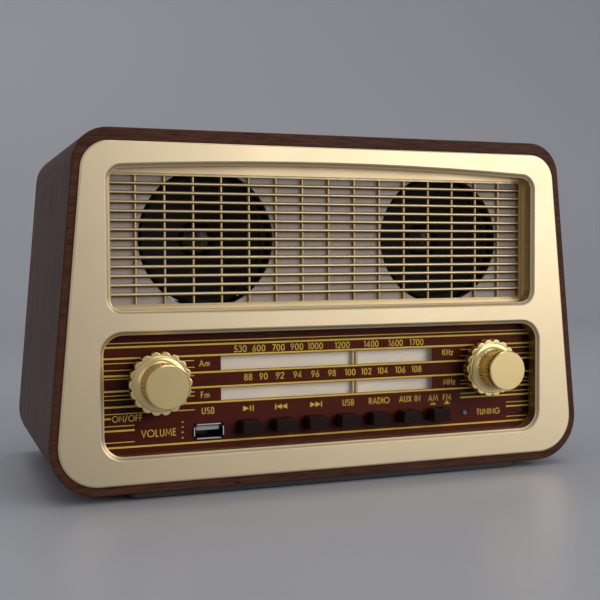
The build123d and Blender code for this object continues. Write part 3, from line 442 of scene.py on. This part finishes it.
class Ink:
    """Collects flat printed shapes and makes one piece of them."""

    def __init__(self):
        self.corners = []
        self.faces = []

    def shape(self, outline):
        """A closed outline of (x, z) points, counter-clockwise from the front, with a thin edge."""
        first = len(self.corners)
        count = len(outline)
        for depth in (film_depth - ink_lift, film_depth - ink_lift + ink_thick):
            self.corners += [spot(x, z, depth) for x, z in outline]
        near = list(range(first, first + count))
        far = [corner + count for corner in near]
        self.faces.append(near)
        self.faces.append(far[::-1])
        for i in range(count):
            j = (i + 1) % count
            self.faces.append([near[j], near[i], far[i], far[j]])

    def bar(self, x0, x1, z, thick):
        """A level line."""
        low, high = z - thick / 2, z + thick / 2
        self.shape([(x0, low), (x1, low), (x1, high), (x0, high)])

    def upright(self, x, low, high, wide):
        """An upright bar."""
        self.shape([(x - wide / 2, low), (x + wide / 2, low), (x + wide / 2, high), (x - wide / 2, high)])

    def arrow(self, x, z, wide, high, way):
        """A triangle that points left (-1) or right (1)."""
        tip = (x + way * wide / 2, z)
        base = x - way * wide / 2
        self.shape([(base, z - way * high / 2), tip, (base, z + way * high / 2)])

    def stroke(self, points, wide):
        """A line of even width through the points, with mitred corners."""
        rails = []
        for i, (x, z) in enumerate(points):
            before = Vector(points[i]) - Vector(points[i - 1]) if i else None
            after = Vector(points[i + 1]) - Vector(points[i]) if i + 1 < len(points) else None
            ways = [way.normalized() for way in (before, after) if way is not None and way.length]
            along = sum(ways, Vector((0, 0))).normalized()
            stretch = min(1 / max(along.dot(ways[0]), 1 / mitre_limit), mitre_limit)
            side = Vector((-along.y, along.x)) * (wide / 2 * stretch)
            rails.append(((x - side.x, z - side.y), (x + side.x, z + side.y)))
        for (right, left), (next_right, next_left) in zip(rails, rails[1:]):
            self.shape([right, next_right, next_left, left])

    def piece(self, name, material):
        """The finished mesh, riding on the fixed body."""
        mesh = bpy.data.meshes.new(name)
        mesh.from_pydata(self.corners, [], self.faces)
        mesh.materials.append(material)
        piece = bpy.data.objects.new(name, mesh)
        scene.collection.objects.link(piece)
        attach(piece, "root")
        return piece


ink = gold_ink()
edge_x = 116.0
thick_line = 0.85
thin_line = 0.4
lines = Ink()
for height, thickness in (
    (68.6, thin_line),
    (66.8, thick_line),
    (61.6, thick_line),
    (53.6, thick_line),
    (46.5, thick_line),
    (39.2, thick_line),
    (20.4, thick_line),
):
    lines.bar(-edge_x, edge_x, height, thickness)
# Short lines beside and behind the knobs
for height in (59.4, 56.2, 52.2, 44.5, 42.6, 36.0):
    lines.bar(-edge_x, -69.5, height, thin_line)
for height in (59.4, 56.2, 43.2, 41.4, 36.4):
    lines.bar(73.0, edge_x, height, thin_line)
lines.bar(73.0, edge_x, 34.3, thick_line)
for height, thickness in ((30.4, thin_line), (28.2, thick_line), (22.8, thin_line)):
    lines.bar(-edge_x, -98.3, height, thickness)
    lines.bar(100.5, edge_x, height, thickness)
lines.bar(-edge_x, -109.2, 33.9, thick_line)
for height in (30.5, 28.1, 25.7, 23.0):
    lines.bar(-75.9, -75.0, height, 0.5)
lines.piece("scale_lines", ink)

symbol_z = 35.2
bar_reach = 1.3  # half the height of the symbols' upright bars
symbols = Ink()
symbols.arrow(-44.1, symbol_z, 3.0, 2.7, 1)
for x in (-41.9, -40.5):
    symbols.upright(x, symbol_z - bar_reach, symbol_z + bar_reach, 0.6)
symbols.upright(-29.0, symbol_z - bar_reach, symbol_z + bar_reach, 0.6)
for x in (-27.2, -24.4):
    symbols.arrow(x, symbol_z, 2.8, 2.7, -1)
for x in (-9.6, -6.8):
    symbols.arrow(x, symbol_z, 2.8, 2.7, 1)
symbols.upright(-5.0, symbol_z - bar_reach, symbol_z + bar_reach, 0.6)
# Button out for AM, button in for FM
bump_z = 31.4
symbols.shape([(55.2, bump_z), (58.8, bump_z), (58.0, bump_z + 0.9), (56.0, bump_z + 0.9)])
symbols.bar(63.2, 66.8, bump_z + 0.2, 0.5)
symbols.bar(64.2, 65.8, bump_z + 1.0, 1.2)
symbols.piece("key_symbols", ink)


def bow(x, z, radius, start, end):
    """Points along an arc, between two angles in degrees."""
    steps = max(3, round(abs(end - start) / 15))
    angles = [math.radians(start + (end - start) * step / steps) for step in range(steps + 1)]
    return [(x + radius * math.cos(angle), z + radius * math.sin(angle)) for angle in angles]


def oval(x, z, wide, high):
    """A closed round stroke."""
    return [(x + wide * px, z + high * pz) for px, pz in bow(0, 0, 1, 90, 450)]


# Plain geometric letters: each is its width and its strokes, for a height of 1
LETTERS = {
    " ": (0.22, []),
    "/": (0.36, [[(0, -0.08), (0.36, 1.08)]]),
    "0": (0.56, [oval(0.28, 0.5, 0.26, 0.48)]),
    "1": (0.30, [[(0.04, 0.84), (0.24, 1), (0.24, 0)]]),
    "2": (0.54, [bow(0.27, 0.73, 0.25, 175, -38) + [(0.03, 0.03), (0.54, 0.03)]]),
    "3": (0.52, [bow(0.25, 0.75, 0.22, 150, -90), bow(0.25, 0.27, 0.26, 90, -150)]),
    "4": (0.58, [[(0.42, 0), (0.42, 1), (0.02, 0.27), (0.58, 0.27)]]),
    "5": (0.52, [[(0.48, 0.97), (0.16, 0.97), (0.09, 0.57)] + bow(0.22, 0.31, 0.29, 110, -145)]),
    "6": (0.54, [oval(0.27, 0.28, 0.25, 0.26), [(0.05, 0.41), (0.40, 1)]]),
    "7": (0.52, [[(0.02, 0.97), (0.52, 0.97), (0.16, 0)]]),
    "8": (0.54, [oval(0.27, 0.75, 0.20, 0.22), oval(0.27, 0.27, 0.25, 0.25)]),
    "9": (0.54, [oval(0.27, 0.72, 0.25, 0.26), [(0.49, 0.59), (0.14, 0)]]),
    "A": (0.68, [[(0, 0), (0.34, 1), (0.68, 0)], [(0.12, 0.32), (0.56, 0.32)]]),
    "B": (0.50, [[(0.04, 0), (0.04, 1)], [(0.04, 0.97)] + bow(0.22, 0.75, 0.22, 90, -90) + [(0.04, 0.53)],
                 [(0.04, 0.53)] + bow(0.22, 0.28, 0.25, 90, -90) + [(0.04, 0.03)]]),
    "D": (0.66, [[(0.04, 0.03), (0.04, 0.97)] + bow(0.18, 0.5, 0.47, 90, -90) + [(0.04, 0.03)]]),
    "E": (0.44, [[(0.44, 0.97), (0.04, 0.97), (0.04, 0.03), (0.44, 0.03)], [(0.04, 0.52), (0.40, 0.52)]]),
    "F": (0.42, [[(0.04, 0), (0.04, 0.97), (0.42, 0.97)], [(0.04, 0.52), (0.40, 0.52)]]),
    "G": (0.92, [bow(0.48, 0.5, 0.47, 42, 355) + [(0.95, 0.48), (0.60, 0.48)]]),
    "H": (0.64, [[(0.04, 0), (0.04, 1)], [(0.60, 0), (0.60, 1)], [(0.04, 0.52), (0.60, 0.52)]]),
    "I": (0.08, [[(0.04, 0), (0.04, 1)]]),
    "K": (0.58, [[(0.04, 0), (0.04, 1)], [(0.04, 0.42), (0.52, 1)], [(0.18, 0.58), (0.58, 0)]]),
    "L": (0.40, [[(0.04, 1), (0.04, 0.03), (0.40, 0.03)]]),
    "M": (0.86, [[(0.02, 0), (0.14, 1), (0.43, 0.22), (0.72, 1), (0.84, 0)]]),
    "N": (0.70, [[(0.04, 0), (0.04, 0.95), (0.66, 0.05), (0.66, 1)]]),
    "O": (0.96, [oval(0.48, 0.5, 0.47, 0.47)]),
    "R": (0.50, [[(0.04, 0), (0.04, 0.97)] + bow(0.20, 0.73, 0.24, 90, -90) + [(0.04, 0.49)],
                 [(0.22, 0.49), (0.50, 0)]]),
    "S": (0.48, [bow(0.24, 0.75, 0.21, 35, 270) + bow(0.22, 0.28, 0.25, 85, -140)]),
    "T": (0.50, [[(0, 0.97), (0.50, 0.97)], [(0.25, 0), (0.25, 0.97)]]),
    "U": (0.58, [[(0.04, 1), (0.04, 0.28)] + bow(0.29, 0.28, 0.25, 180, 360) + [(0.54, 1)]]),
    "V": (0.62, [[(0, 1), (0.31, 0), (0.62, 1)]]),
    "X": (0.58, [[(0, 0), (0.56, 1)], [(0.02, 1), (0.58, 0)]]),
    "m": (0.78, [[(0.04, 0), (0.04, 0.62)], bow(0.21, 0.42, 0.17, 180, 0) + [(0.38, 0)],
                 bow(0.56, 0.42, 0.17, 180, 0) + [(0.73, 0)]]),
    "z": (0.42, [[(0.02, 0.60), (0.40, 0.60), (0.02, 0.03), (0.42, 0.03)]]),
}


letter_gap = 0.22  # of the letters' height


def lettering(name, words, height, weight=0.44):
    """One piece of printed words, each given as (text, x, z) of its middle, in millimetres."""
    print_run = Ink()
    for text, x, z in words:
        pen = x - (sum(LETTERS[letter][0] + letter_gap for letter in text) - letter_gap) * height / 2
        for letter in text:
            wide, strokes = LETTERS[letter]
            for points in strokes:
                placed = [(pen + px * height, z + (pz - 0.5) * height) for px, pz in points]
                print_run.stroke(placed, weight)
            pen += (wide + letter_gap) * height
    print_run.piece(name, ink)


am_z = 64.1
fm_z = 50.35
key_row_z = 35.2
am_places = (-46.8, -37.4, -27.4, -17.8, -8.2, 6.2, 22.0, 35.65, 47.4)
am_numbers = (530, 600, 700, 900, 1000, 1200, 1400, 1600, 1700)
fm_places = (-42.9, -35.1, -26.65, -17.5, -8.2, 0.7, 10.45, 19.3, 28.3, 38.2, 47.4)
numbers = [(str(n), x, am_z) for n, x in zip(am_numbers, am_places)]
numbers += [(str(88 + 2 * i), x, fm_z) for i, x in enumerate(fm_places)]
lettering("scale_numbers", numbers, 3.0)
band_names = [("Am", -64.5, 57.9), ("Fm", -64.3, 42.9), ("KHz", 65.5, 58.3), ("MHz", 66.4, 42.9)]
lettering("band_names", band_names, 2.9)
key_words = [("USB", -63.0, key_row_z), ("USB", 9.4, key_row_z), ("RADIO", 26.4, key_row_z)]
key_words += [("AUX IN", 43.6, key_row_z)]
key_words += [("AM", 57.0, 34.9), ("FM", 65.0, 34.9)]
lettering("key_words", key_words, 3.0)
lettering("volume_word", [("VOLUME", -86.8, 26.1)], 3.3)
lettering("tuning_word", [("TUNING", 89.5, 26.2)], 3.0)
lettering("switch_words", [("ON/OFF", -101.6, 33.7)], 2.8, 0.36)

# ---- Floor, light and camera -----------------------------------------------------------------


def sweep_backdrop():
    """A floor that curves up into a plain wall."""
    wide, near, far, tall, bend = 6.0, -3.0, 1.7, 3.5, 0.8
    steps = 16
    profile = [(near, 0.0)]
    for step in range(steps + 1):
        angle = math.pi / 2 * step / steps
        profile.append((far - bend + bend * math.sin(angle), bend - bend * math.cos(angle)))
    profile.append((far, tall))
    corners = [(side * wide / 2, y, z) for y, z in profile for side in (-1, 1)]
    faces = [(2 * i, 2 * i + 1, 2 * i + 3, 2 * i + 2) for i in range(len(profile) - 1)]
    mesh = bpy.data.meshes.new("studio_sweep")
    mesh.from_pydata(corners, [], faces)
    for face in mesh.polygons:
        face.use_smooth = True
    s = Surface("pale_grey_paper", (0.395, 0.402, 0.432), 0.42)
    s.bump(s.noise((120, 120, 120), 3.0), 0.04, 0.0005)
    mesh.materials.append(s.material)
    sweep = bpy.data.objects.new("studio_sweep", mesh)
    scene.collection.objects.link(sweep)


def softbox(name, place, aim, size, power, colour=(1, 1, 1)):
    """A rectangular area light that looks at a point."""
    light = bpy.data.lights.new(name, "AREA")
    light.shape = "RECTANGLE"
    light.size, light.size_y = size
    light.energy = power
    light.color = colour
    holder = bpy.data.objects.new(name, light)
    holder.location = place
    direction = Vector(aim) - Vector(place)
    holder.rotation_euler = direction.to_track_quat("-Z", "Y").to_euler()
    scene.collection.objects.link(holder)


sweep_backdrop()
middle = (0, 0, 0.08)
softbox("key_right", (1.3, -1.6, 0.7), middle, (2.0, 1.4), 16)
softbox("fill_left", (-1.5, -1.1, 0.8), middle, (1.0, 1.2), 1.0, (1.0, 0.98, 0.95))
softbox("top", (0.1, 0.1, 1.8), middle, (1.8, 1.2), 9)
world = bpy.data.worlds.new("studio_air")
world.use_nodes = True
world.node_tree.nodes["Background"].inputs["Color"].default_value = (0.66, 0.66, 0.68, 1)
world.node_tree.nodes["Background"].inputs["Strength"].default_value = 0.64
scene.world = world


def photo_camera():
    """The camera, a little left of the radio and level with its scale, turned to the right."""
    yaw, pitch, roll = (math.radians(angle) for angle in (20.428, 2.2935, -0.319))
    forward = Vector((math.sin(yaw) * math.cos(pitch), math.cos(yaw) * math.cos(pitch), -math.sin(pitch)))
    level = Vector((math.cos(yaw), -math.sin(yaw), 0))
    upward = level.cross(forward)
    right = level * math.cos(roll) + upward * math.sin(roll)
    upward = right.cross(forward)
    turn = Matrix((right, upward, -forward)).transposed()
    lens = bpy.data.cameras.new("camera")
    lens.lens = 61.14
    lens.sensor_width = 36.0
    camera = bpy.data.objects.new("camera", lens)
    camera.matrix_world = Matrix.Translation((-0.18999, -0.5277, 0.1101)) @ turn.to_4x4()
    scene.collection.objects.link(camera)
    scene.camera = camera


photo_camera()
scene.view_settings.view_transform = "Standard"
